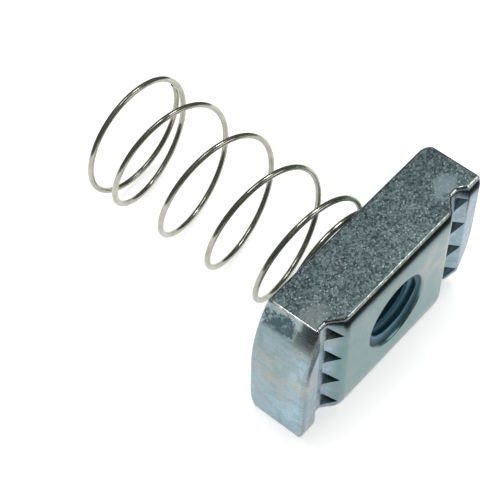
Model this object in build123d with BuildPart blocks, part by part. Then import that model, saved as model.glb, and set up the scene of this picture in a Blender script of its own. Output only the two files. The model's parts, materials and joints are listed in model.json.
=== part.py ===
"""Strut spring nut: a toothed channel nut with a light coil spring staked to its back.

Frame: millimetres, +Z up.  The nut lies on one of its long sides, as it does on a bench.
X runs along the nut, -Y is the side that bears on the strut's lips, and the spring stands
out of the back along +Y.  The origin is on the tapped hole's axis, at half the thickness.
"""
from build123d import *
from math import cos, radians, sin, sqrt
import os

# Nut blank
nut_length = 35.0
nut_width = 20.0
nut_thickness = 9.4
heel_radius = 0.5  # the two corners that don't pass the strut's slot
heel_roll_radius = 1.8  # those corners again, rolled off towards the back
swing_edge_radius = 0.45  # along the thickness, where the swing arcs start
rim_radius = 0.4

# Tapped hole, M10
core_radius = 4.25
mouth_radius = 5.6
mouth_depth = 0.7

# Toothed grooves, one near each end, for the strut's inturned lips
groove_from_end = 4.4  # end of the nut to the middle of the groove's floor
groove_floor_width = 1.4
groove_depth = 1.9
inner_wall_run = 1.9  # how far the sloping wall leans back, along X
outer_wall_run = 1.2
lip_drop = 0.7  # the end lips stand lower than the middle by this much
shoulder_radius = 1.5
root_radius = 0.6
lip_radius = 0.55

# Teeth: V notches across both walls of each groove
notch_count = 4
notch_pitch = 5.0
notch_width = 2.8
inner_notch_reach = 1.6
outer_notch_reach = 1.2
notch_lean = 0.3  # how far the point of the V stands off the middle, as a share of the width
right_row_shift = -0.6  # the +X row of teeth sits this much lower than the -X row

# Coil spring
wire_diameter = 0.8
coil_radius = 8.8  # to the middle of the wire
seat_turns = 0.5  # lies on the nut's back, under the claws
lift_turns = 0.15  # leaves the seat
lead_pitch = 3.2
lead_turns = 0.85
opening_turns = 0.3
active_pitch = 8.1
active_turns = 3.4
closing_turns = 0.45
end_turns = 0.85  # closed, against the turn before it
end_turn_gap = 0.05  # between the closed end turn and the turn under it
spring_tip_angle = 20.0  # where the free end of the wire lies, from +X towards +Z
arcs_per_turn = 8

# Claws staked over the seated turn
claw_angles = (-5.0, -50.0, -130.0)
claw_arc = 14.0
claw_wall = 0.9  # outside the wire
claw_cover = 0.45  # over the wire
claw_reach = 0.25  # past the middle of the wire, inwards
wire_clearance = 0.05

# Derived places
half_length = nut_length / 2
half_width = nut_width / 2
front_y = -nut_thickness / 2
back_y = nut_thickness / 2
swing_x = sqrt(half_length**2 - half_width**2)
heel_reach = sqrt(half_length**2 + half_width**2)  # from the hole's axis to a square corner
groove_x = half_length - groove_from_end
inner_foot_x = groove_x - groove_floor_width / 2
outer_foot_x = groove_x + groove_floor_width / 2
floor_y = front_y + groove_depth
lip_y = front_y + lip_drop
wire_radius = wire_diameter / 2
tunnel_radius = wire_radius + wire_clearance
seat_y = back_y + tunnel_radius
closed_pitch = wire_diameter + end_turn_gap
# The wire's stages from the nut outwards: turns, pitch at the start, pitch at the end
wire_stages = [
    (seat_turns, 0.0, 0.0),
    (lift_turns, 0.0, lead_pitch),
    (lead_turns, lead_pitch, lead_pitch),
    (opening_turns, lead_pitch, active_pitch),
    (active_turns, active_pitch, active_pitch),
    (closing_turns, active_pitch, closed_pitch),
    (end_turns, closed_pitch, closed_pitch),
]
total_turns = sum(turns for turns, _, _ in wire_stages)


def notch_outline(side, middle, lean):
    """Corners of one notch in plan: across the floor, with a V into each wall.

    side is 1 for the groove at +X and -1 at -X, middle is the notch's place along the
    width, and lean moves the points of both V towards +Z as a share of its width.
    """
    low = middle - notch_width / 2
    high = middle + notch_width / 2
    point = middle + lean * notch_width
    return [
        (side * inner_foot_x, low),
        (side * (inner_foot_x - inner_notch_reach), point),
        (side * inner_foot_x, high),
        (side * outer_foot_x, high),
        (side * (outer_foot_x + outer_notch_reach), point),
        (side * outer_foot_x, low),
    ]


def climb(turns):
    """How far the wire has climbed off its seat after so many turns."""
    height = 0.0
    for length, first_pitch, last_pitch in wire_stages:
        done = min(max(turns, 0.0), length)
        pitch_here = first_pitch + (last_pitch - first_pitch) * done / length
        height += done * (first_pitch + pitch_here) / 2
        turns -= length
    return height


def wire_point(turns):
    """A point on the wire's left-hand centre line, counted from its seated end."""
    angle = radians(spring_tip_angle - 360 * (total_turns - turns))
    return (coil_radius * cos(angle), seat_y + climb(turns), coil_radius * sin(angle))


# Channel nut: blank, grooves, teeth, tapped hole and claws, one solid
with BuildPart() as channel_nut:
    # Section along the length: bearing face, shoulders, grooves and end lips
    right_corners = [
        (inner_foot_x - inner_wall_run, front_y),
        (inner_foot_x, floor_y),
        (outer_foot_x, floor_y),
        (outer_foot_x + outer_wall_run, lip_y),
        (nut_length, lip_y),
    ]
    left_corners = [(-x, y) for x, y in reversed(right_corners)]
    right_radii = [shoulder_radius, root_radius, root_radius, lip_radius]
    with BuildSketch(Plane.XY):
        with BuildLine():
            front = FilletPolyline(
                left_corners + right_corners, radius=right_radii[::-1] + right_radii
            )
            Polyline(front @ 1, (nut_length, back_y), (-nut_length, back_y), front @ 0)
        make_face()
    extrude(amount=half_width, both=True)

    # Plan: two corners follow the circle that the nut swings in, the other two are heels
    with BuildSketch(Plane.XZ.offset(-back_y)):
        with BuildLine():
            for end in (1, -1):
                heel = FilletPolyline(
                    (end * half_length, 0),
                    (end * half_length, end * half_width),
                    (-end * swing_x, end * half_width),
                    radius=heel_radius,
                )
                RadiusArc(heel @ 1, (-end * half_length, 0), -half_length)
        make_face()
    extrude(amount=nut_thickness, mode=Mode.INTERSECT)

    # Roll the heels off towards the back: all within a turned blank that clears the arcs
    with BuildSketch(Plane.XY):
        with BuildLine():
            blank = FilletPolyline(
                (heel_reach, front_y), (heel_reach, back_y), (0, back_y), radius=heel_roll_radius
            )
            Polyline(blank @ 1, (0, front_y), blank @ 0)
        make_face()
    revolve(axis=Axis.Y, mode=Mode.INTERSECT)

    # Round the edges where the swing arcs start, then every edge of the outline
    swing_edges = channel_nut.edges().filter_by(Axis.Y).filter_by(
        lambda edge: abs(abs(edge.center().X) - swing_x) < 0.01
    )
    fillet(swing_edges, radius=swing_edge_radius)
    walls = channel_nut.faces().filter_by(lambda face: abs(face.normal_at().Y) < 0.01)
    fillet(walls.edges().filter_by(Axis.Y, reverse=True), radius=rim_radius)

    # Teeth, cut straight down to the groove's floor
    with BuildSketch(Plane.XZ.offset(-floor_y)):
        for side, row_shift in ((-1, 0.0), (1, right_row_shift)):
            for notch in range(notch_count):
                middle = (notch - (notch_count - 1) / 2) * notch_pitch + row_shift
                Polygon(*notch_outline(side, middle, side * notch_lean), align=None)
    extrude(amount=groove_depth, mode=Mode.SUBTRACT)

    # Claws: hooks revolved about the hole's axis, open towards the inside of the coil
    claw_inner = coil_radius - claw_reach
    claw_outer = coil_radius + tunnel_radius + claw_wall
    claw_top = seat_y + tunnel_radius + claw_cover
    for claw_angle in claw_angles:
        start = radians(claw_angle + claw_arc / 2)
        direction = Vector(cos(start), 0, sin(start))
        claw_plane = Plane(origin=(0, 0, 0), x_dir=direction, z_dir=direction.cross(Vector(0, 1, 0)))
        with BuildSketch(claw_plane):
            with BuildLine():
                Polyline(
                    (claw_inner, seat_y),
                    (claw_inner, claw_top),
                    (claw_outer, claw_top),
                    (claw_outer, 0),
                    (coil_radius, 0),
                    (coil_radius, seat_y),
                    close=True,
                )
            make_face()
            fillet(vertices().sort_by(Axis.X)[-2:].sort_by(Axis.Y)[-1], radius=claw_cover)
            with Locations((coil_radius, seat_y)):
                Circle(tunnel_radius, mode=Mode.SUBTRACT)
        revolve(axis=Axis.Y, revolution_arc=claw_arc)

    # Tapped hole at its core size, with a chamfer at both mouths
    with BuildSketch(Plane.XY):
        with BuildLine():
            Polyline(
                (0, front_y),
                (mouth_radius, front_y),
                (core_radius, front_y + mouth_depth),
                (core_radius, back_y - mouth_depth),
                (mouth_radius, back_y),
                (0, back_y),
                close=True,
            )
        make_face()
    revolve(axis=Axis.Y, mode=Mode.SUBTRACT)

channel_nut.part.label = "channel_nut"

# Coil spring: one round wire from its seat on the nut to its closed end, in short arcs
with BuildPart() as coil_spring:
    arc_count = round(total_turns * arcs_per_turn)
    arc_turns = total_turns / arc_count
    with BuildLine() as wire_line:
        for arc in range(arc_count):
            ThreePointArc(
                wire_point(arc * arc_turns),
                wire_point((arc + 0.5) * arc_turns),
                wire_point((arc + 1) * arc_turns),
            )
    with BuildSketch(Plane(origin=wire_line.line @ 0, z_dir=wire_line.line % 0)):
        Circle(wire_radius)
    sweep(path=wire_line.line)

coil_spring.part.label = "coil_spring"

os.makedirs("parts", exist_ok=True)
for piece in (channel_nut.part, coil_spring.part):
    export_step(piece, f"parts/{piece.label}.step")
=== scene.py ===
"""Strut spring nut: a zinc-plated toothed nut with a bright coil spring staked to its back.

Metres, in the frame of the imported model.  The nut lies on one of its long sides, X runs along
it, -Y is the bearing face and the spring stands out of the back along +Y.
"""
import json
import logging
import math
from dataclasses import dataclass
from enum import Enum
from functools import reduce

import bmesh
import bpy
from mathutils import Euler, Matrix, Vector
from mathutils.bvhtree import BVHTree


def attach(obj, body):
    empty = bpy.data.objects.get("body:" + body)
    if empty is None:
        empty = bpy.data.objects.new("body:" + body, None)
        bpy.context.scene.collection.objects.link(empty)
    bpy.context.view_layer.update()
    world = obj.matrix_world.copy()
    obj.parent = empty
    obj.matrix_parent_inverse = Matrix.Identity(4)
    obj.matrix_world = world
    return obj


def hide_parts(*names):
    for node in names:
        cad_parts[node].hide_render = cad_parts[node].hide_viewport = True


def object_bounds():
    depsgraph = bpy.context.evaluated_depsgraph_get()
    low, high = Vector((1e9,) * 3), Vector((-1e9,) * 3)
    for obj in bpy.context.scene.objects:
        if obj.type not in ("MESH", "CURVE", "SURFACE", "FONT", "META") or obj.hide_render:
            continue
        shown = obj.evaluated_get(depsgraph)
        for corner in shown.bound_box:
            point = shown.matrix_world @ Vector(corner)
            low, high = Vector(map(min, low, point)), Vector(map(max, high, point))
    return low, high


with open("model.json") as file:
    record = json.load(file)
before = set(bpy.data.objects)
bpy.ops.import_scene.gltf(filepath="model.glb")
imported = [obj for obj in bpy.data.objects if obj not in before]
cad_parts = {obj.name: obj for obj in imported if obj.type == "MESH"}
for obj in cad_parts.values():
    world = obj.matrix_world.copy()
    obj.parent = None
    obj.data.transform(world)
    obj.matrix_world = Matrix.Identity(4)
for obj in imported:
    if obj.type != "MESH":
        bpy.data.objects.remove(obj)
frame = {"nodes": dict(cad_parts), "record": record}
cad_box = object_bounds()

LOG = logging.getLogger("strut_nut")
MM = 0.001
Colour = tuple[float, float, float, float]
Span = tuple[float, float]
Socket = bpy.types.NodeSocket
BMesh = bmesh.types.BMesh
WHITE = (1.0, 1.0, 1.0, 1.0)
ALONG = Vector((1.0, 0.0, 0.0))
HOLE_AXIS = Vector((0.0, 1.0, 0.0))
UP = Vector((0.0, 0.0, 1.0))


def srgb(*levels: int) -> Colour:
    """Turn a screen colour into the linear colour that shaders work in.

    Args:
        levels: red, green and blue, 0 to 255.

    Returns:
        The linear colour with an alpha of 1.
    """
    shares = (level / 255 for level in levels)
    linear = [c / 12.92 if c <= 0.04045 else ((c + 0.055) / 1.055) ** 2.4 for c in shares]
    return (*linear, 1.0)


def inside(edge: float, insets: Span) -> Span:
    """Give the span that lies inside an edge by two insets."""
    return (edge - insets[0], edge - insets[1])


def read_off(place: float, stops: list[Span]) -> float:
    """Read a value off straight lines between stops, held level past both ends.

    Args:
        place: where to read.
        stops: places in rising order, each with its value.

    Returns:
        The value.
    """
    for (near, first), (far, last) in zip(stops, stops[1:]):
        if place <= far:
            return first + (last - first) * max(place - near, 0.0) / (far - near)
    return stops[-1][1]


class Wiring:
    """A node tree being wired up, with short calls for the nodes that the finishes use."""

    def __init__(self, tree: bpy.types.NodeTree) -> None:
        """Keep the tree that is wired."""
        self.tree = tree

    def feed(self, node: bpy.types.Node, values: dict[str | int, object]) -> None:
        """Link sockets into a node's inputs, or set the inputs to constants.

        Args:
            node: the node.
            values: output sockets, numbers or colours, by the input's name or number.
        """
        for label, value in values.items():
            if isinstance(value, Socket):
                self.tree.links.new(value, node.inputs[label])
            else:
                node.inputs[label].default_value = value

    def node(
        self, kind: str, values: dict[str | int, object] | None = None, **settings: object
    ) -> bpy.types.Node:
        """Add a node.

        Args:
            kind: the node's type, without the ShaderNode prefix.
            values: what feeds its inputs.
            settings: attributes to set on it.

        Returns:
            The new node.
        """
        made = self.tree.nodes.new("ShaderNode" + kind)
        for name, setting in settings.items():
            setattr(made, name, setting)
        self.feed(made, values or {})
        return made

    def math(self, operation: str, *terms: object, clamp: bool = False) -> Socket:
        """Work on sockets or numbers with a Math node, whose result clamp holds in 0 to 1."""
        made = self.node("Math", dict(enumerate(terms)), operation=operation, use_clamp=clamp)
        return made.outputs[0]

    def chain(self, operation: str, terms: tuple[object, ...]) -> Socket:
        """Join terms by one operation, from the first to the last."""
        return reduce(lambda joined, term: self.math(operation, joined, term), terms)

    def times(self, *terms: object) -> Socket:
        """Multiply all terms."""
        return self.chain("MULTIPLY", terms)

    def plus(self, *terms: object) -> Socket:
        """Add all terms."""
        return self.chain("ADD", terms)

    def less(self, whole: object, part: object) -> Socket:
        """Take a part from a whole."""
        return self.math("SUBTRACT", whole, part)

    def most(self, *terms: object) -> Socket:
        """Give the largest term."""
        return self.chain("MAXIMUM", terms)

    def size(self, value: object) -> Socket:
        """Give a value without its sign."""
        return self.math("ABSOLUTE", value)

    def length(self, *terms: object) -> Socket:
        """Give the length of the vector that has these parts."""
        return self.math("SQRT", self.plus(*(self.times(term, term) for term in terms)))

    def parts(self, vector: object) -> list[Socket]:
        """Split a vector into its X, Y and Z."""
        return list(self.node("SeparateXYZ", {0: vector}).outputs)

    def ease(self, value: object, start: float, end: float) -> Socket:
        """Ease a value from 0 at start to 1 at end, which may be the lower of the two."""
        values = {"Value": value, "From Min": start, "From Max": end}
        return self.node("MapRange", values, interpolation_type="SMOOTHSTEP").outputs["Result"]

    def blend(self, share: object, first: object, second: object) -> Socket:
        """Mix two colours, where share says how much of the second shows."""
        return self.node("Mix", {0: share, 6: first, 7: second}, data_type="RGBA").outputs[2]

    def level(self, share: object, first: object, second: object) -> Socket:
        """Mix two numbers, where share says how much of the second counts."""
        return self.node("Mix", {0: share, 2: first, 3: second}, data_type="FLOAT").outputs[0]

    def noise(self, place: object, scale: object, detail: float, roughness: float) -> Socket:
        """Give the grey of a Noise Texture that reads a place, with scale features per metre."""
        values = {"Vector": place, "Scale": scale, "Detail": detail, "Roughness": roughness}
        return self.node("TexNoise", values).outputs["Fac"]

    def bump(self, height: object, strength: float, depth: float) -> Socket:
        """Turn a relief of some strength and depth into a normal."""
        values = {"Height": height, "Strength": strength, "Distance": depth}
        return self.node("Bump", values).outputs[0]


def new_finish(name: str) -> tuple[bpy.types.Material, Wiring, bpy.types.Node]:
    """Start a material.

    Args:
        name: its name.

    Returns:
        The material, its wiring and its Principled node.
    """
    made = bpy.data.materials.new(name)
    made.use_nodes = True
    return made, Wiring(made.node_tree), made.node_tree.nodes["Principled BSDF"]


class Effects:
    """Surface effects that both finishes use, each a node group that is built once."""

    @staticmethod
    def _start(
        name: str, inputs: dict[str, float], outputs: list[str]
    ) -> tuple[bpy.types.NodeTree, bpy.types.NodeOutputs, bpy.types.Node]:
        """Start a node group that reads a Vector and some numbers, and gives out numbers.

        Args:
            name: the group's name.
            inputs: the numbers that it reads, each with its default.
            outputs: the numbers that it gives out.

        Returns:
            The group's tree, the sockets that it reads and its output node.
        """
        tree = bpy.data.node_groups.new(name, "ShaderNodeTree")
        tree.interface.new_socket("Vector", in_out="INPUT", socket_type="NodeSocketVector")
        for label, default in inputs.items():
            made = tree.interface.new_socket(label, in_out="INPUT", socket_type="NodeSocketFloat")
            made.default_value = default
        for label in outputs:
            tree.interface.new_socket(label, in_out="OUTPUT", socket_type="NodeSocketFloat")
        given = tree.nodes.new("NodeGroupInput").outputs
        return tree, given, tree.nodes.new("NodeGroupOutput")

    @staticmethod
    def grain() -> bpy.types.NodeTree:
        """Build a two-sized grain of bright specks among dark ones.

        Returns:
            A group with Speck, Spark and Height outputs.
        """
        inputs = {"Size": 0.35 * MM, "Contrast": 1.0}
        tree, given, result = Effects._start("grain", inputs, ["Speck", "Spark", "Height"])
        w = Wiring(tree)
        scale = w.math("DIVIDE", 1.0, given["Size"])
        cells = w.node("TexVoronoi", {"Vector": given["Vector"], "Scale": scale})
        tone = w.node("SeparateColor", {0: cells.outputs["Color"]})
        mixed = w.level(0.42, w.noise(given["Vector"], scale, 3.0, 0.62), tone.outputs[0])
        spread = w.times(w.less(mixed, 0.5), given["Contrast"], 3.2)
        few = w.ease(tone.outputs[1], 0.80, 0.92)
        small = w.ease(cells.outputs["Distance"], 0.5, 0.15)
        speck = w.math("ADD", spread, 0.45, clamp=True)
        w.feed(result, {"Speck": speck, "Spark": w.times(few, small), "Height": mixed})
        return tree

    @staticmethod
    def streaks() -> bpy.types.NodeTree:
        """Build fine lines that run along the group's Y, as a tool drags them.

        Returns:
            A group with a Line output.
        """
        inputs = {"Pitch": 0.2 * MM, "Length": 6.0}
        tree, given, result = Effects._start("streaks", inputs, ["Line"])
        w = Wiring(tree)
        x, y, z = w.parts(given["Vector"])
        y = w.math("DIVIDE", y, given["Length"])
        drawn_out = w.node("CombineXYZ", {0: x, 1: y, 2: z}).outputs[0]
        scale = w.math("DIVIDE", 1.0, given["Pitch"])
        w.feed(result, {"Line": w.noise(drawn_out, scale, 3.0, 0.6)})
        return tree

    def __init__(self) -> None:
        """Build every group once."""
        self.groups = {"grain": self.grain(), "streaks": self.streaks()}

    def place(self, w: Wiring, name: str, **values: object) -> dict[str, Socket]:
        """Place one of the groups in a material with these inputs, and give its outputs."""
        made = w.node("Group", values, node_tree=self.groups[name])
        return dict(made.outputs.items())


@dataclass
class NutZones:
    """Masks over the nut, from where a point of its surface lies and which way it faces.

    Each span says where a mask is 0 and where it is 1.  Insets are measured inwards from the
    long sides or from the circle that the nut swings in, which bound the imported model.
    """

    w: Wiring
    half_width: float = cad_box[1][2]
    swing_radius: float = cad_box[1][0]
    side_insets: Span = (0.4 * MM, 0.1 * MM)
    side_upright: Span = (0.9955, 0.9995)
    back_y: Span = (3.6 * MM, 4.1 * MM)
    back_upright: Span = (0.50, 0.75)
    bore_reach: Span = (5.45 * MM, 5.25 * MM)
    groove_far: Span = (11.0 * MM, 12.2 * MM)
    groove_y: Span = (-1.6 * MM, -2.4 * MM)
    end_insets: Span = (0.12 * MM, 0.03 * MM)
    rim_insets: Span = (1.2 * MM, 0.8 * MM)
    rim_y: Span = (-2.2 * MM, -2.8 * MM)
    rim_upright: Span = (0.34, 0.60)
    end_rim_insets: Span = (0.6 * MM, 0.4 * MM)
    end_rim_upright: Span = (0.68, 0.78)
    # where the painted shade under the bearing side's rim lies
    painted_rim_shade_insets: Span = (2.4 * MM, 1.4 * MM)
    painted_rim_shade_y: Span = (-2.6 * MM, -3.2 * MM)
    painted_rim_shade_starts: Span = (0.05, 0.22)
    painted_rim_shade_stops: Span = (0.46, 0.32)
    notch_insets: Span = (0.4 * MM, 0.7 * MM)
    notch_y: float = -2.6 * MM
    notch_frontal: Span = (0.12, 0.02)
    corner_insets: Span = (0.7 * MM, 0.4 * MM)
    corner_y: Span = (-3.0 * MM, -3.4 * MM)

    def __post_init__(self) -> None:
        """Work out the places, and the masks of the faces that several layers share."""
        w = self.w
        spot = w.node("TexCoord")
        self.place = spot.outputs["Object"]
        self.x, self.y, self.z = w.parts(self.place)
        _, self.frontal, self.upright = (w.size(part) for part in w.parts(spot.outputs["Normal"]))
        self.far = w.size(self.x)
        self.wide = w.size(self.z)
        self.reach = w.length(self.x, self.z)
        self.swings = w.math("LESS_THAN", w.times(self.x, self.z), 0.0)
        self.outermost = w.level(self.swings, self.far, self.reach)
        self.end = w.ease(self.outermost, *inside(self.swing_radius, self.end_insets))
        self.bore = w.ease(self.reach, *self.bore_reach)
        self.groove = w.times(w.ease(self.far, *self.groove_far), w.ease(self.y, *self.groove_y))
        behind = w.times(w.ease(self.y, *self.back_y), w.ease(self.upright, *self.back_upright))
        side = w.ease(self.wide, *inside(self.half_width, self.side_insets))
        self.side = w.times(side, w.most(behind, w.ease(self.upright, *self.side_upright)))

    def rim(self) -> Socket:
        """Mask the rim of the bearing side, and the upper edges of the ends, which are lightened:
        rubbed metal with a painted highlight.

        Returns:
            The mask.
        """
        w = self.w
        outer = w.ease(self.outermost, *inside(self.swing_radius, self.end_rim_insets))
        front = w.times(w.ease(self.y, *self.rim_y), w.ease(self.upright, *self.rim_upright))
        end = w.times(outer, w.ease(self.upright, *self.end_rim_upright))
        near = w.ease(self.wide, *inside(self.half_width, self.rim_insets))
        return w.times(w.most(front, end), near)

    def painted_rim_shade(self) -> Socket:
        """Mask the band where the bearing side starts to roll up into its upper rim: a painted
        shade, the dark reflection that this band shows.
        """
        w = self.w
        return w.times(
            w.ease(self.upright, *self.painted_rim_shade_starts),
            w.ease(self.upright, *self.painted_rim_shade_stops),
            w.ease(self.y, *self.painted_rim_shade_y),
            w.ease(self.z, *inside(self.half_width, self.painted_rim_shade_insets)),
        )

    def notches(self) -> Socket:
        """Mask the upright walls of the notches in both grooves."""
        w = self.w
        return w.times(
            w.ease(self.frontal, *self.notch_frontal),
            self.groove,
            w.ease(self.wide, *inside(self.half_width, self.notch_insets)),
            w.math("LESS_THAN", self.y, self.notch_y),
            w.less(1.0, self.end),
        )

    def lip_corner(self) -> Socket:
        """Mask the rolled corner between each end and the top of its lip."""
        outer = self.w.ease(self.outermost, *inside(self.swing_radius, self.corner_insets))
        return self.w.times(outer, self.w.ease(self.y, *self.corner_y))


@dataclass(frozen=True)
class ZincPlate:
    """Bright zinc plating: smooth where coined or sheared, spangled on the long sides."""

    coined_high: Colour = srgb(84, 121, 115)
    coined_low: Colour = srgb(100, 146, 141)
    grooved: Colour = srgb(154, 176, 192)
    sheared: Colour = srgb(156, 187, 190)
    # painted reflection: the lighter, bluer colour that the ends take towards the floor on the -X
    # end
    sheared_reflection: Colour = srgb(175, 209, 223)
    drag_line: Colour = srgb(150, 152, 140)
    cloudy: Colour = srgb(112, 140, 142)
    blue_tint: Colour = srgb(140, 178, 184)
    lilac_tint: Colour = srgb(154, 168, 186)
    straw_tint: Colour = srgb(178, 176, 160)
    dark_grain: Colour = srgb(42, 57, 60)
    light_grain: Colour = srgb(136, 156, 158)
    spark: Colour = srgb(198, 214, 214)
    smear: Colour = srgb(138, 147, 145)
    cool_smear: Colour = srgb(148, 168, 174)
    fracture_dark: Colour = srgb(84, 114, 124)
    fracture_light: Colour = srgb(198, 216, 220)
    burr: Colour = srgb(186, 200, 200)
    # the rims' lighter colour: rubbed metal with a painted highlight; the next colour is painted
    # highlight beads
    rubbed_and_highlight: Colour = srgb(172, 177, 172)
    painted_glint: Colour = srgb(236, 238, 232)
    # painted shade: the dark reflection along the band under the bearing side's rim
    painted_rim_shade: Colour = srgb(48, 54, 46)
    # the hole's colours are darkened as painted shade, deepest at the thread roots and the lead-in
    # cone
    bore: Colour = srgb(94, 142, 160)
    painted_bore_shade: Colour = srgb(48, 86, 100)
    grain_size: float = 0.24 * MM
    streak_pitch: float = 0.25 * MM
    tints_per_metre: float = 130.0
    tint_strength: float = 0.6
    bump_depth: float = 0.06 * MM
    coined_z: Span = (8.0 * MM, -8.0 * MM)
    reflection_z: Span = (-1.0 * MM, 9.0 * MM)
    smear_far: float = 13.1 * MM
    smear_y: float = -1.2 * MM
    smear_size: Span = (2.2 * MM, 1.5 * MM)
    tear_wide: Span = (6.6 * MM, 7.9 * MM)
    tear_y: Span = (-1.4 * MM, 0.4 * MM)
    # where the painted highlight along the torn patch's top edge rises
    tear_highlight_top: Span = (8.2 * MM, 9.6 * MM)
    burr_y: Span = (0.6 * MM, 1.6 * MM)
    worn_y: Span = (-2.6 * MM, 0.6 * MM)
    painted_bore_shade_reach: Span = (4.4 * MM, 4.9 * MM)

    def material(self, effects: Effects) -> bpy.types.Material:
        """Build the plating's material.

        Args:
            effects: the shared groups.

        Returns:
            The material.
        """
        made, w, shader = new_finish("bright_zinc_plate")
        layers = ZincLayers(w, effects, self)
        w.feed(shader, {"Base Color": layers.colour(), "Metallic": layers.metal()})
        w.feed(shader, {"Roughness": layers.roughness()})
        w.feed(shader, {"Normal": w.bump(layers.relief(), 0.55, self.bump_depth)})
        return made


class ZincLayers:
    """The plating's layers on the nut: colours and masks that share its zones and grains."""

    def __init__(self, w: Wiring, effects: Effects, plate: ZincPlate) -> None:
        """Lay out the zones, the grains, and the masks that several layers use.

        Args:
            w: the material's wiring.
            effects: the shared groups.
            plate: the plating's colours and sizes.
        """
        self.w = w
        self.effects = effects
        self.plate = plate
        self.zones = NutZones(w)
        self.fine = self.grain(1, 0.62)
        self.flecks = self.grain(2, 0.7)
        self.soft = self.grain(5, 0.6)
        along = {"Vector": self.zones.place, "Pitch": plate.streak_pitch, "Length": 9.0}
        self.line = effects.place(w, "streaks", **along)["Line"]
        self.dragged = w.times(w.ease(self.line, 0.48, 0.66), self.zones.end)
        self.smeared = self.smear_mask()
        self.torn, self.burr = self.tear_masks()

    def grain(self, coarseness: float, contrast: float) -> dict[str, Socket]:
        """Lay a grain over the nut, sized in the plating's own grains, and give its outputs."""
        values = {"Vector": self.zones.place, "Size": self.plate.grain_size * coarseness}
        return self.effects.place(self.w, "grain", Contrast=contrast, **values)

    def ragged(self, mask: Socket, share: float) -> Socket:
        """Add a share of the soft grain to a mask, so that its outline turns ragged."""
        return self.w.plus(mask, self.w.times(self.w.less(self.soft["Speck"], 0.5), share))

    def smear_mask(self) -> Socket:
        """Mask the patches beside the grooves where the spangle is rubbed smooth.

        Returns:
            The mask.
        """
        w, plate = self.w, self.plate
        off_groove = w.math("DIVIDE", w.less(self.zones.far, plate.smear_far), plate.smear_size[0])
        off_edge = w.math("DIVIDE", w.less(self.zones.y, plate.smear_y), plate.smear_size[1])
        return w.times(w.ease(self.ragged(w.length(off_groove, off_edge), 0.7), 1.25, 0.55), 0.5)

    def tear_masks(self) -> tuple[Socket, Socket]:
        """Mask the torn patch where the shear breaks through, at the start of each swing arc.

        Returns:
            The patch and the burr round it.
        """
        w, zones, plate = self.w, self.zones, self.plate
        place = w.times(w.ease(zones.wide, *plate.tear_wide), zones.swings, zones.end)
        place = w.times(place, w.ease(zones.y, *plate.tear_y))
        edge = self.ragged(place, 0.9)
        near = w.ease(place, 0.02, 0.2)
        burr = w.times(w.ease(edge, 0.25, 0.45), w.ease(edge, 0.70, 0.50), near)
        return w.times(w.ease(edge, 0.40, 0.60), near), burr

    def tinted(self, ground: Socket) -> Socket:
        """Let a colour drift through the blue, lilac and straw tints of passivated zinc.

        Args:
            ground: the colour under the tints.

        Returns:
            The tinted colour.
        """
        w, plate = self.w, self.plate
        drift = w.noise(self.zones.place, plate.tints_per_metre, 2.0, 0.55)
        ramp = w.node("ValToRGB", {0: drift})
        stops = ramp.color_ramp.elements
        stops[0].position, stops[0].color = 0.30, plate.blue_tint
        stops[1].position, stops[1].color = 0.72, plate.straw_tint
        stops.new(0.5).color = plate.lilac_tint
        share = w.times(w.plus(w.ease(drift, 0.35, 0.75), 0.35), plate.tint_strength)
        return w.blend(share, ground, ramp.outputs[0])

    def even(self) -> Socket:
        """Colour the coined and sheared faces: nearly even, drifting through faint tints, with
        each sheared end lightening across the nut's width, towards the floor on the -X end, a
        painted reflection of the floor.

        Returns:
            The colour.
        """
        w, zones, plate = self.w, self.zones, self.plate
        # painted reflection of the floor, lighter towards the floor on the -X end
        reflecting = w.ease(w.times(zones.z, w.math("SIGN", zones.x)), *plate.reflection_z)
        sheared = w.blend(reflecting, plate.sheared, plate.sheared_reflection)
        coined = w.blend(w.ease(zones.z, *plate.coined_z), plate.coined_high, plate.coined_low)
        ground = w.blend(zones.end, w.blend(zones.groove, coined, plate.grooved), sheared)
        cloud = w.times(w.ease(self.soft["Speck"], 0.2, 0.9), 0.35)
        fleck = w.times(w.ease(self.flecks["Speck"], 0.25, 0.75), w.level(zones.end, 0.45, 0.15))
        colour = w.blend(cloud, self.tinted(ground), plate.cloudy)
        colour = w.blend(fleck, colour, plate.smear)
        return w.blend(w.times(self.dragged, 0.15), colour, plate.drag_line)

    def spangled(self) -> Socket:
        """Colour the long sides: dark and bright grains, rubbed smooth beside each groove.

        Returns:
            The colour.
        """
        w, plate = self.w, self.plate
        light = w.math("POWER", w.level(0.22, self.fine["Speck"], self.soft["Speck"]), 1.5)
        grains = w.blend(light, plate.dark_grain, plate.light_grain)
        grains = w.blend(w.times(self.fine["Spark"], 0.8), grains, plate.spark)
        smear = w.blend(w.math("GREATER_THAN", self.zones.x, 0.0), plate.smear, plate.cool_smear)
        return w.blend(self.smeared, grains, smear)

    def broken(self) -> Socket:
        """Colour the torn patch: light and dark crumbs of metal, lighter towards the long side's
        edge as a painted highlight.

        Returns:
            The colour.
        """
        w, plate = self.w, self.plate
        crumbs = w.level(0.24, self.soft["Speck"], self.fine["Speck"])
        # painted highlight: the crumbs turn lighter towards the long side's edge
        crumbs = w.plus(crumbs, w.times(w.ease(self.zones.wide, *plate.tear_highlight_top), 0.16))
        return w.blend(w.ease(crumbs, 0.38, 0.70), plate.fracture_dark, plate.fracture_light)

    def colour(self) -> Socket:
        """Lay each face's colour over the ones before.

        Returns:
            The colour of the whole nut.
        """
        w, zones, plate = self.w, self.zones, self.plate
        lip = w.blend(w.ease(zones.y, *plate.burr_y), plate.burr, plate.fracture_dark)
        # painted highlight beads along the rims, over their rubbed colour
        highlight_beads = w.blend(w.ease(self.flecks["Speck"], 0.45, 0.75), plate.rubbed_and_highlight, plate.painted_glint)
        polish_and_highlight = w.times(zones.rim(), w.level(self.fine["Speck"], 0.55, 1.0))
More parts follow.
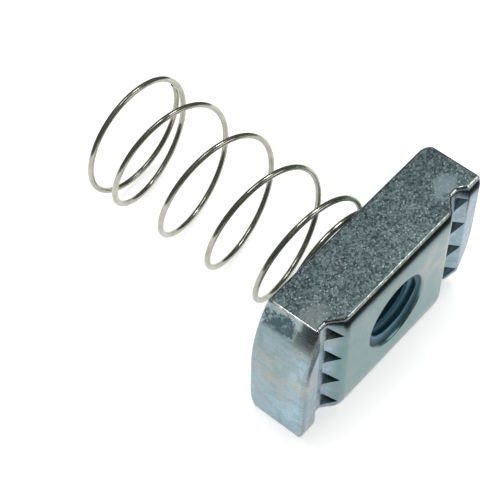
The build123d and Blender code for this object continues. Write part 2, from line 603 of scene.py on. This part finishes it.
        # painted shade in the hole, deepest at the thread roots and the lead-in cone
        hole = w.blend(w.ease(zones.reach, *plate.painted_bore_shade_reach), plate.bore, plate.painted_bore_shade)
        colour = w.blend(self.torn, self.even(), self.broken())
        colour = w.blend(w.times(self.burr, 0.6), colour, lip)
        # painted shade darkens the band under the rim
        colour = w.blend(w.times(zones.painted_rim_shade(), 0.7), colour, plate.painted_rim_shade)
        colour = w.blend(polish_and_highlight, colour, highlight_beads)
        colour = w.blend(zones.side, colour, self.spangled())
        return w.blend(zones.bore, colour, hole)

    def metal(self) -> Socket:
        """Say how much each face mirrors: less where it is dull, worn or torn.

        Returns:
            1 for clean metal and 0 for none.
        """
        w, zones = self.w, self.zones
        dull = w.most(
            w.times(zones.side, 0.3),
            w.times(self.torn, 0.8),
            w.times(zones.bore, 0.6),
            w.times(zones.notches(), 0.4),
            w.times(zones.lip_corner(), 0.5),
            w.times(zones.end, w.level(w.ease(zones.y, *self.plate.worn_y), 0.06, 0.58)),
            w.times(self.burr, 0.7),
        )
        return w.less(1.0, dull)

    def roughness(self) -> Socket:
        """Say how blurred each face mirrors.

        Returns:
            The roughness.
        """
        w = self.w
        sleek = w.level(self.torn, w.level(self.dragged, 0.24, 0.34), 0.6)
        grainy = w.level(self.smeared, w.level(self.fine["Speck"], 0.42, 0.32), 0.42)
        return w.level(self.zones.bore, w.level(self.zones.side, sleek, grainy), 0.42)

    def relief(self) -> Socket:
        """Raise the grains and the dragged lines.

        Returns:
            The height.
        """
        w, zones = self.w, self.zones
        grainy = w.math("ADD", zones.side, self.torn, clamp=True)
        return w.plus(
            w.times(self.fine["Height"], grainy),
            w.times(self.line, w.times(zones.end, 0.06)),
            w.times(self.soft["Height"], 0.35),
            w.times(self.flecks["Height"], 0.12),
        )


@dataclass(frozen=True)
class DrawnWire:
    """Bright drawn spring wire with faint lines along its length."""

    bright: Colour = srgb(186, 186, 174)
    dull: Colour = srgb(132, 130, 112)
    line_pitch: float = 0.12 * MM
    cloud_size: float = 1.6 * MM
    bump_depth: float = 0.01 * MM

    def material(self, effects: Effects) -> bpy.types.Material:
        """Build the wire's material.

        Args:
            effects: the shared groups.

        Returns:
            The material.
        """
        made, w, shader = new_finish("drawn_spring_wire")
        run = w.node("Attribute", attribute_name="drawn").outputs["Vector"]
        line = effects.place(w, "streaks", Vector=run, Pitch=self.line_pitch, Length=24.0)["Line"]
        cloud = effects.place(w, "grain", Vector=run, Size=self.cloud_size, Contrast=0.8)["Speck"]
        mark = w.ease(line, 0.45, 0.68)
        share = w.plus(w.times(mark, 0.45), w.times(cloud, 0.25))
        w.feed(shader, {"Base Color": w.blend(share, self.bright, self.dull), "Metallic": 0.88})
        w.feed(shader, {"Roughness": w.level(mark, 0.14, 0.28)})
        w.feed(shader, {"Normal": w.bump(line, 0.25, self.bump_depth)})
        return made


def finished(name: str, bm: BMesh, material: bpy.types.Material) -> bpy.types.Object:
    """Turn a bmesh into an object at the origin, with a material.

    Args:
        name: the object's name.
        bm: its shape, which is freed.
        material: its finish.

    Returns:
        The linked object.
    """
    mesh = bpy.data.meshes.new(name)
    bm.to_mesh(mesh)
    bm.free()
    mesh.materials.append(material)
    made = bpy.data.objects.new(name, mesh)
    bpy.context.scene.collection.objects.link(made)
    return made


def screw(
    bm: BMesh, geom: list[object], angle: float, rise: float, steps: int = 1
) -> list[object]:
    """Screw geometry about the hole's axis.

    Args:
        bm: the bmesh that it is in.
        geom: what is screwed.
        angle: the whole turn.
        rise: how far each step moves it along the axis.
        steps: the number of steps.

    Returns:
        The geometry at the end of the turn.
    """
    turned = bmesh.ops.spin(
        bm,
        geom=geom,
        cent=(0.0, 0.0, 0.0),
        axis=HOLE_AXIS,
        dvec=HOLE_AXIS * rise,
        angle=angle,
        steps=steps,
        use_merge=False,
    )
    return turned["geom_last"]


@dataclass
class Thread:
    """The screw thread in the nut's hole, with a lead-in at both mouths."""

    core_radius: float
    front: float
    back: float
    pitch: float = 1.5 * MM
    flank_angle: float = math.radians(30)
    major_radius: float = 5.0 * MM
    mouth_radius: float = 5.6 * MM
    mouth_step: float = 0.06 * MM
    mouth_roll: Span = (0.12 * MM, 0.18 * MM)
    taper_start: float = 0.5 * MM
    taper_end: float = 0.85 * MM
    taper_over: float = 0.20 * MM
    corner_ease: float = 0.04 * MM
    turn_steps: int = 96

    def profile(self) -> list[tuple[float, float]]:
        """Give the thread's form over one pitch.

        Returns:
            Radius and place along the axis of each corner, starting on the crest.
        """
        depth = self.major_radius - self.core_radius
        root = self.pitch / 8
        flank = depth * math.tan(self.flank_angle)
        crest = self.pitch - root - 2 * flank
        ease = self.corner_ease
        core, major = self.core_radius, self.major_radius
        corners = [(core, crest * share) for share in (0.0, 0.25, 0.5, 0.75)]
        corners += [(core, crest - ease), (core + ease / 2, crest + ease / 2)]
        corners += [(core + depth * share, crest + flank * share) for share in (0.35, 0.7)]
        corners += [
            (major - ease / 2, crest + flank - ease / 2),
            (major, crest + flank + root / 2),
            (major - ease / 2, crest + flank + root + ease / 2),
        ]
        corners += [
            (core + depth * share, crest + flank * (2 - share) + root) for share in (0.7, 0.35)
        ]
        corners.append((core + ease / 2, self.pitch - ease / 2))
        return corners

    def mouth(self, y: float) -> float:
        """Give the least radius that the hole has at a place along its axis.

        Args:
            y: the place.

        Returns:
            The radius that the thread is trimmed to.
        """
        lead_in = [
            (0.0, self.mouth_radius),
            (self.mouth_roll[0], self.mouth_radius - self.mouth_roll[1]),
            (self.taper_start, self.major_radius + self.taper_over),
            (self.taper_end, self.core_radius),
        ]
        return read_off(min(y - self.front, self.back - y), lead_in)

    def build(self) -> BMesh:
        """Screw the form through the hole and trim it to the mouths.

        Returns:
            The open thread surface, with one ring of vertices at each mouth.
        """
        bm = bmesh.new()
        low = self.front + self.mouth_step
        high = self.back - self.mouth_step
        turns = math.ceil((high - low) / self.pitch) + 2
        last = None
        for turn in range(turns):
            start = low + (turn - 1) * self.pitch
            for radius, along in self.profile():
                corner = bm.verts.new((radius, start + along, 0.0))
                if last is not None:
                    bm.edges.new((last, corner))
                last = corner
        rise = self.pitch / self.turn_steps
        screw(bm, bm.verts[:] + bm.edges[:], math.tau, rise, self.turn_steps)
        for vert in bm.verts:
            flat = math.hypot(vert.co.x, vert.co.z)
            y = min(max(vert.co.y, low), high)
            radius = self.mouth(y) if y in (low, high) else max(flat, self.mouth(y))
            vert.co = Vector((vert.co.x * radius / flat, y, vert.co.z * radius / flat))
        bmesh.ops.remove_doubles(bm, verts=bm.verts[:], dist=0.002 * MM)
        bmesh.ops.dissolve_degenerate(bm, edges=bm.edges[:], dist=0.001 * MM)
        return bm


@dataclass
class ChannelNut:
    """The toothed nut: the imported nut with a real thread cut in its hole."""

    finish: ZincPlate
    effects: Effects
    crease: float = math.radians(32)
    face_roll: Span = (0.62 * MM, 3.2 * MM)
    groove_roll: Span = (0.45 * MM, 0.9 * MM)
    lip_roll: Span = (0.70 * MM, 2.8 * MM)
    roll_steps: int = 16
    roll_depth: float = 4.0 * MM
    end_roll: Span = (0.45 * MM, 0.6 * MM)
    heel_roll: float = 0.9 * MM
    middle_end: float = 10.4 * MM
    groove_start: float = 11.6 * MM
    groove_end: float = 14.0 * MM
    lip_start: float = 15.2 * MM
    weld: float = 0.0002 * MM
    end_step: float = 0.14 * MM
    end_row: float = 0.8 * MM
    face_end: float = 9.0 * MM
    lobe_place: float = -0.3 * MM
    swing_start: float = 14.0 * MM
    lip_inset: float = 1.5 * MM
    probe_gap: float = 1.0 * MM

    def body(self) -> BMesh:
        """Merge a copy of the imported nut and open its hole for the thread.

        Returns:
            The nut without the wall of its hole.
        """
        bm = bmesh.new()
        bm.from_mesh(frame["nodes"]["channel_nut"].data)
        bmesh.ops.remove_doubles(bm, verts=bm.verts[:], dist=self.weld)
        rim = Thread.mouth_radius + 0.01 * MM
        wall = [
            face
            for face in bm.faces
            if all(math.hypot(v.co.x, v.co.z) < rim for v in face.verts)
            and max(v.co.y for v in face.verts) - min(v.co.y for v in face.verts) > 0.1 * MM
        ]
        bmesh.ops.delete(bm, geom=wall, context="FACES")
        bmesh.ops.dissolve_limit(
            bm, angle_limit=math.radians(0.4), verts=bm.verts[:], edges=bm.edges[:]
        )
        self.roll_rims(bm)
        self.roll_ends(bm)
        return bm

    def roll_size(self, x: float) -> Span:
        """Give how the bearing side rolls into the long sides at a place along the nut.

        Args:
            x: the place.

        Returns:
            How deep and how wide the roll is.
        """
        places = (self.middle_end, self.groove_start, self.groove_end, self.lip_start)
        rolls = (self.face_roll, self.groove_roll, self.groove_roll, self.lip_roll)
        depths, widths = (list(zip(places, sizes)) for sizes in zip(*rolls))
        return read_off(abs(x), depths), read_off(abs(x), widths)

    @staticmethod
    def cut(bm: BMesh, faces: list[bmesh.types.BMFace], place: Vector, across: Vector) -> None:
        """Cut some faces with a plane.

        Args:
            bm: the nut.
            faces: the faces to cut.
            place: a point on the plane.
            across: the plane's normal.
        """
        edges = {edge for face in faces for edge in face.edges}
        verts = {vert for face in faces for vert in face.verts}
        bmesh.ops.bisect_plane(
            bm,
            geom=faces + list(edges) + list(verts),
            dist=0.0005 * MM,
            plane_co=place,
            plane_no=across,
        )

    @staticmethod
    def drop(inset: float, size: Span) -> float:
        """Give how far a rolled rim falls: tight at its outline, then easing into the flat.

        Args:
            inset: distance from the outline.
            size: how deep and how wide the roll is.

        Returns:
            The fall below the flat.
        """
        depth, width = size
        return depth * (1 - min(max(inset, 0.0) / width, 1.0) ** 0.75) ** 2.6

    def roll_rims(self, bm: BMesh) -> None:
        """Roll the long edges of the bearing side over, as coining leaves them.

        Args:
            bm: the nut.
        """
        half_width = max(v.co.z for v in bm.verts)
        front = min(v.co.y for v in bm.verts)
        reach = max(self.face_roll[1], self.lip_roll[1])
        for side in (-1, 1):
            for step in range(self.roll_steps):
                turned = math.pi / 2 * step / self.roll_steps
                place = half_width - reach * (1 - math.sin(turned))
                near = [
                    face
                    for face in bm.faces
                    if max(v.co.z * side for v in face.verts) > half_width - reach
                    and min(v.co.y for v in face.verts) < front + self.roll_depth
                ]
                self.cut(bm, near, UP * (place * side), UP)
        bm.normal_update()
        surface = BVHTree.FromBMesh(bm)
        moves = []
        for vert in bm.verts:
            inset = half_width - abs(vert.co.z)
            size = self.roll_size(vert.co.x)
            swings = vert.co.x * vert.co.z < 0 and abs(vert.co.x) > self.swing_start
            if inset >= size[1] or vert.co.y > front + self.roll_depth or swings:
                continue
            along = math.copysign(max(abs(vert.co.x), self.face_end), vert.co.x)
            probe = Vector((along, front - self.probe_gap, self.lobe_place))
            flat = surface.ray_cast(probe, HOLE_AXIS)[0]
            if flat is not None:
                moves.append((vert, max(vert.co.y, flat.y + self.drop(inset, size))))
        for vert, y in moves:
            vert.co.y = y

    def roll_ends(self, bm: BMesh) -> None:
        """Roll the outer edges of the end lips over.

        Args:
            bm: the nut.
        """
        half_length = max(v.co.x for v in bm.verts)
        half_width = max(v.co.z for v in bm.verts)
        front = min(v.co.y for v in bm.verts)
        surface = BVHTree.FromBMesh(bm)
        probe = Vector((half_length - self.lip_inset, front - self.probe_gap, self.lobe_place))
        lip = surface.ray_cast(probe, HOLE_AXIS)[0].y
        steps = round((half_length - self.swing_start) / self.end_step)
        rows = round(half_width / self.end_row)
        places = [
            (ALONG * (side * (half_length - step * self.end_step)), ALONG)
            for side in (-1, 1)
            for step in range(1, steps)
        ]
        places += [(UP * (row * self.end_row), UP) for row in range(1 - rows, rows)]
        for place, across in places:
            near = [
                face
                for face in bm.faces
                if min(abs(v.co.x) for v in face.verts) > self.swing_start
                and min(v.co.y for v in face.verts) < lip + 0.1 * MM
            ]
            self.cut(bm, near, place, across)
        for vert in bm.verts:
            flat = abs(vert.co.x)
            if vert.co.x * vert.co.z < 0:
                inset = half_length - math.hypot(flat, vert.co.z)
            else:
                past_x = max(self.heel_roll - (half_length - flat), 0.0)
                past_z = max(self.heel_roll - (half_width - abs(vert.co.z)), 0.0)
                corner = self.heel_roll - math.hypot(past_x, past_z)
                inset = corner if past_x and past_z else half_length - flat
            near_lip = flat > self.swing_start and vert.co.y < lip + self.roll_depth
            if near_lip and inset < self.end_roll[1]:
                vert.co.y = max(vert.co.y, lip + self.drop(inset, self.end_roll))

    def build(self) -> bpy.types.Object:
        """Join the nut and its thread into one closed piece.

        Returns:
            The nut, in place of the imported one.
        """
        hole = next(m for m in frame["record"]["mounts"] if m["name"] == "tapped_hole")
        bm = self.body()
        rims = [e for e in bm.edges if e.is_boundary]
        front = min(v.co.y for e in rims for v in e.verts)
        back = max(v.co.y for e in rims for v in e.verts)
        thread = Thread(hole["dims"]["r_mm"] * MM, front, back).build()
        scratch = bpy.data.meshes.new("thread")
        thread.to_mesh(scratch)
        thread.free()
        bm.from_mesh(scratch)
        bpy.data.meshes.remove(scratch)
        for side in (-1, 1):
            loops = [
                e for e in bm.edges if e.is_boundary and all(v.co.y * side > 0 for v in e.verts)
            ]
            bmesh.ops.bridge_loops(bm, edges=loops)
        bmesh.ops.recalc_face_normals(bm, faces=bm.faces[:])
        for face in bm.faces:
            face.smooth = True
        for edge in bm.edges:
            if len(edge.link_faces) == 2 and edge.calc_face_angle() > self.crease:
                edge.smooth = False
        open_edges = sum(1 for e in bm.edges if not e.is_manifold)
        LOG.info("channel nut: %d faces, %d open edges", len(bm.faces), open_edges)
        nut = finished("toothed_nut", bm, self.finish.material(self.effects))
        weights = nut.modifiers.new("flat faces stay flat", "WEIGHTED_NORMAL")
        weights.weight = 100
        weights.keep_sharp = True
        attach(nut, "root")
        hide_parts("channel_nut")
        return nut


@dataclass
class CoilSpring:
    """The spring, one round wire from its seat under the claws to its closed free end."""

    finish: DrawnWire
    effects: Effects
    wire_radius: float = 0.4 * MM
    coil_radius: float = 8.8 * MM
    seat: float = 5.15 * MM
    tip_angle: float = math.radians(20.0)
    steps_per_turn: int = 72
    ring_points: int = 18
    tip_bevel: float = 0.07 * MM
    stages: tuple[tuple[float, float, float], ...] = (
        (0.5, 0.0, 0.0),
        (0.15, 0.0, 3.2 * MM),
        (0.85, 3.2 * MM, 3.2 * MM),
        (0.3, 3.2 * MM, 8.1 * MM),
        (3.4, 8.1 * MM, 8.1 * MM),
        (0.45, 8.1 * MM, 0.85 * MM),
        (0.85, 0.85 * MM, 0.85 * MM),
    )

    def climb(self, turns: float) -> float:
        """Give how far the wire has climbed off its seat.

        Args:
            turns: turns from the seated end.

        Returns:
            The height over the seat.
        """
        height = 0.0
        for length, first, last in self.stages:
            done = min(max(turns, 0.0), length)
            here = first + (last - first) * done / length
            height += done * (first + here) / 2
            turns -= length
        return height

    def build(self) -> bpy.types.Object:
        """Screw a ring of the wire's section along the spring.

        Returns:
            The spring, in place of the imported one.
        """
        total = sum(length for length, _, _ in self.stages)
        steps = round(total * self.steps_per_turn)
        turn = total / steps
        start = self.tip_angle - math.tau * total
        bm = bmesh.new()
        drawn = bm.verts.layers.float_vector.new("drawn")
        at_start = Matrix.Translation((0.0, self.seat, 0.0)) @ Matrix.Rotation(-start, 4, "Y")
        ring = bmesh.ops.create_circle(
            bm,
            cap_ends=False,
            radius=self.wire_radius,
            segments=self.ring_points,
            matrix=at_start @ Matrix.Translation((self.coil_radius, 0.0, 0.0)),
        )["verts"]
        for vert in ring:
            local = at_start.inverted() @ vert.co
            vert[drawn] = Vector((local.x - self.coil_radius, 0.0, local.y))
        last = ring + bm.edges[:]
        for step in range(steps):
            rise = self.climb((step + 1) * turn) - self.climb(step * turn)
            last = screw(bm, last, -math.tau * turn, rise)
            along = math.hypot(math.tau * turn * self.coil_radius, rise)
            for item in last:
                if isinstance(item, bmesh.types.BMVert):
                    item[drawn].y += along
        bmesh.ops.remove_doubles(bm, verts=bm.verts[:], dist=0.001 * MM)
        tips = [e for e in bm.edges if e.is_boundary]
        caps = bmesh.ops.holes_fill(bm, edges=tips, sides=0)["faces"]
        bmesh.ops.recalc_face_normals(bm, faces=bm.faces[:])
        for face in bm.faces:
            face.smooth = face not in caps
        bmesh.ops.bevel(
            bm,
            geom=[e for face in caps for e in face.edges],
            offset=self.tip_bevel,
            offset_type="OFFSET",
            segments=2,
            profile=0.5,
            affect="EDGES",
            material=-1,
        )
        LOG.info("coil spring: %d faces", len(bm.faces))
        spring = finished("coil_spring_wire", bm, self.finish.material(self.effects))
        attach(spring, "root")
        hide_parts("coil_spring")
        return spring


class Backdrop(Enum):
    """The plain surfaces round the object."""

    FLOOR = "studio_floor"
    TENT = "dark_tent"
    CARD = "bright_card"


@dataclass
class Studio:
    """Pale floor, soft lamps, a dark tent and a bright card out of view, and the camera."""

    camera_place: tuple[float, float, float] = (-0.10417, -0.06574, 0.17707)
    camera_turn: tuple[float, float, float] = (35.956, -0.641, -49.895)
    lens: float = 122.4
    floor_level: float = -10.0 * MM
    tent_radius: float = 0.15
    pool_size: Span = (0.078, 0.046)
    pool_middle: tuple[float, float, float] = (-0.004, 0.028, -0.0099)
    key_towards: tuple[float, float, float] = (0.487, 0.06, 0.87)
    edge_towards: tuple[float, float, float] = (0.03, 0.31, 0.95)
    card_towards: tuple[float, float, float] = (0.483, -0.78, 0.39)
    card_angle: float = math.radians(16.0)
    card_level: float = 1.5
    card_colour: Colour = (1.0, 0.97, 0.92, 1.0)
    tent_colour: Colour = (0.06, 0.06, 0.06, 1.0)
    floor_colour: Colour = (0.92, 0.92, 0.92, 1.0)
    opening_angle: float = math.radians(10.0)
    fill_place: tuple[float, float, float] = (-0.26, -0.20, 0.62)
    lamp_distance: float = 0.5
    floor_glow: float = 0.45
    sky_level: float = 0.5

    @staticmethod
    def looked_at(w: Wiring) -> Socket:
        """Mask what the camera sees, straight or in a mirroring surface.

        Args:
            w: the wiring of the surface or sky that is seen.

        Returns:
            1 where it is seen and 0 where it only sheds light.
        """
        path = w.node("LightPath").outputs
        mirrored = w.plus(path["Is Glossy Ray"], path["Is Transmission Ray"])
        return w.math("ADD", path["Is Camera Ray"], mirrored, clamp=True)

    @staticmethod
    def only_mirrored(piece: bpy.types.Object) -> None:
        """Show a surface in reflections alone."""
        piece.visible_camera = False
        piece.visible_diffuse = False
        piece.visible_shadow = False

    def plain(self, kind: Backdrop) -> bpy.types.Material:
        """Build the material of a stage surface.

        Args:
            kind: which surface.

        Returns:
            The material.
        """
        made, w, shader = new_finish(kind.value)
        w.feed(shader, {"Specular IOR Level": 0.0, "Roughness": 1.0})
        if kind is Backdrop.TENT:
            w.feed(shader, {"Base Color": self.tent_colour})
        elif kind is Backdrop.CARD:
            w.feed(shader, {"Emission Color": self.card_colour})
            w.feed(shader, {"Emission Strength": self.card_level})
        else:
            glow = w.times(self.looked_at(w), self.floor_glow)
            w.feed(shader, {"Base Color": self.floor_colour})
            w.feed(shader, {"Emission Color": WHITE, "Emission Strength": glow})
        return made

    def floor(self) -> None:
        """Lay the floor under the nut."""
        bm = bmesh.new()
        bmesh.ops.create_grid(bm, x_segments=1, y_segments=1, size=3.0)
        bmesh.ops.translate(bm, verts=bm.verts[:], vec=(0.0, 0.0, self.floor_level))
        finished("floor", bm, self.plain(Backdrop.FLOOR))

    def tent(self) -> None:
        """Stand a dark tent round the nut, open to the lamps, that shows only in reflections."""
        openings = [
            (Vector(self.key_towards), self.opening_angle),
            (Vector(self.edge_towards), self.opening_angle),
            (Vector(self.card_towards), self.card_angle),
        ]
        bm = bmesh.new()
        bmesh.ops.create_uvsphere(bm, u_segments=128, v_segments=64, radius=self.tent_radius)
        middles = {face: face.calc_center_median() for face in bm.faces}
        gone = [
            face
            for face, middle in middles.items()
            if middle.z < self.floor_level
            or any(middle.angle(towards) < angle for towards, angle in openings)
        ]
        bmesh.ops.delete(bm, geom=gone, context="FACES")
        shape = Matrix.Diagonal((*self.pool_size, 1.0, 1.0))
        pool = bmesh.ops.create_circle(
            bm,
            cap_ends=False,
            radius=1.0,
            segments=96,
            matrix=Matrix.Translation(self.pool_middle) @ shape,
        )["verts"]
        edges = list({edge for vert in pool for edge in vert.link_edges})
        outer = bmesh.ops.extrude_edge_only(bm, edges=edges)["geom"]
        outer = [item for item in outer if isinstance(item, bmesh.types.BMVert)]
        grow = self.tent_radius / min(self.pool_size)
        bmesh.ops.scale(bm, verts=outer, vec=(grow, grow, 1.0))
        tent = finished("dark_tent", bm, self.plain(Backdrop.TENT))
        self.only_mirrored(tent)

    def card(self) -> None:
        """Hold a bright card low in front, where the rolled rim of the bearing side catches it."""
        towards = Vector(self.card_towards).normalized()
        distance = self.tent_radius * 1.2
        turned = towards.to_track_quat("Z", "Y").to_matrix().to_4x4()
        bm = bmesh.new()
        bmesh.ops.create_circle(
            bm,
            cap_ends=True,
            radius=distance * math.tan(self.card_angle),
            segments=48,
            matrix=Matrix.Translation(towards * distance) @ turned,
        )
        card = finished("bright_card", bm, self.plain(Backdrop.CARD))
        self.only_mirrored(card)

    @staticmethod
    def lamp(name: str, place: Vector, size: Span, power: float) -> None:
        """Hang a soft lamp that points at the nut.

        Args:
            name: the lamp's name.
            place: its centre.
            size: its width and height.
            power: its power in watts.
        """
        data = bpy.data.lights.new(name, "AREA")
        data.shape = "RECTANGLE"
        data.size, data.size_y = size
        data.energy = power
        lamp = bpy.data.objects.new(name, data)
        lamp.location = place
        lamp.rotation_euler = place.to_track_quat("Z", "Y").to_euler()
        bpy.context.scene.collection.objects.link(lamp)

    def sky(self) -> None:
        """Light the scene evenly, with a white background."""
        world = bpy.data.worlds.new("studio")
        bpy.context.scene.world = world
        world.use_nodes = True
        w = Wiring(world.node_tree)
        strength = w.level(self.looked_at(w), self.sky_level, 1.0)
        w.feed(world.node_tree.nodes["Background"], {"Color": WHITE, "Strength": strength})

    def camera(self) -> None:
        """Set up the camera."""
        data = bpy.data.cameras.new("camera")
        data.lens = self.lens
        data.clip_start = 0.01
        data.clip_end = 20.0
        camera = bpy.data.objects.new("camera", data)
        camera.location = self.camera_place
        camera.rotation_euler = Euler([math.radians(a) for a in self.camera_turn])
        bpy.context.scene.collection.objects.link(camera)
        bpy.context.scene.camera = camera

    def build(self) -> None:
        """Set the whole studio up."""
        self.floor()
        self.sky()
        self.camera()
        self.tent()
        self.card()
        key = Vector(self.key_towards) * self.lamp_distance
        edge = Vector(self.edge_towards) * self.lamp_distance
        self.lamp("key_lamp", key, size=(0.12, 0.10), power=0.45)
        self.lamp("edge_lamp", edge, size=(0.16, 0.16), power=0.45)
        self.lamp("fill_lamp", Vector(self.fill_place), size=(0.20, 0.20), power=0.5)
        bpy.context.scene.view_settings.view_transform = "Standard"
        LOG.info("studio: floor, lamps, tent, card and camera")


def main() -> None:
    """Build and dress every piece."""
    logging.basicConfig(level=logging.INFO, format="%(name)s: %(message)s")
    effects = Effects()
    ChannelNut(ZincPlate(), effects).build()
    CoilSpring(DrawnWire(), effects).build()
    Studio().build()
    bpy.context.view_layer.update()


if __name__ == "__main__":
    main()
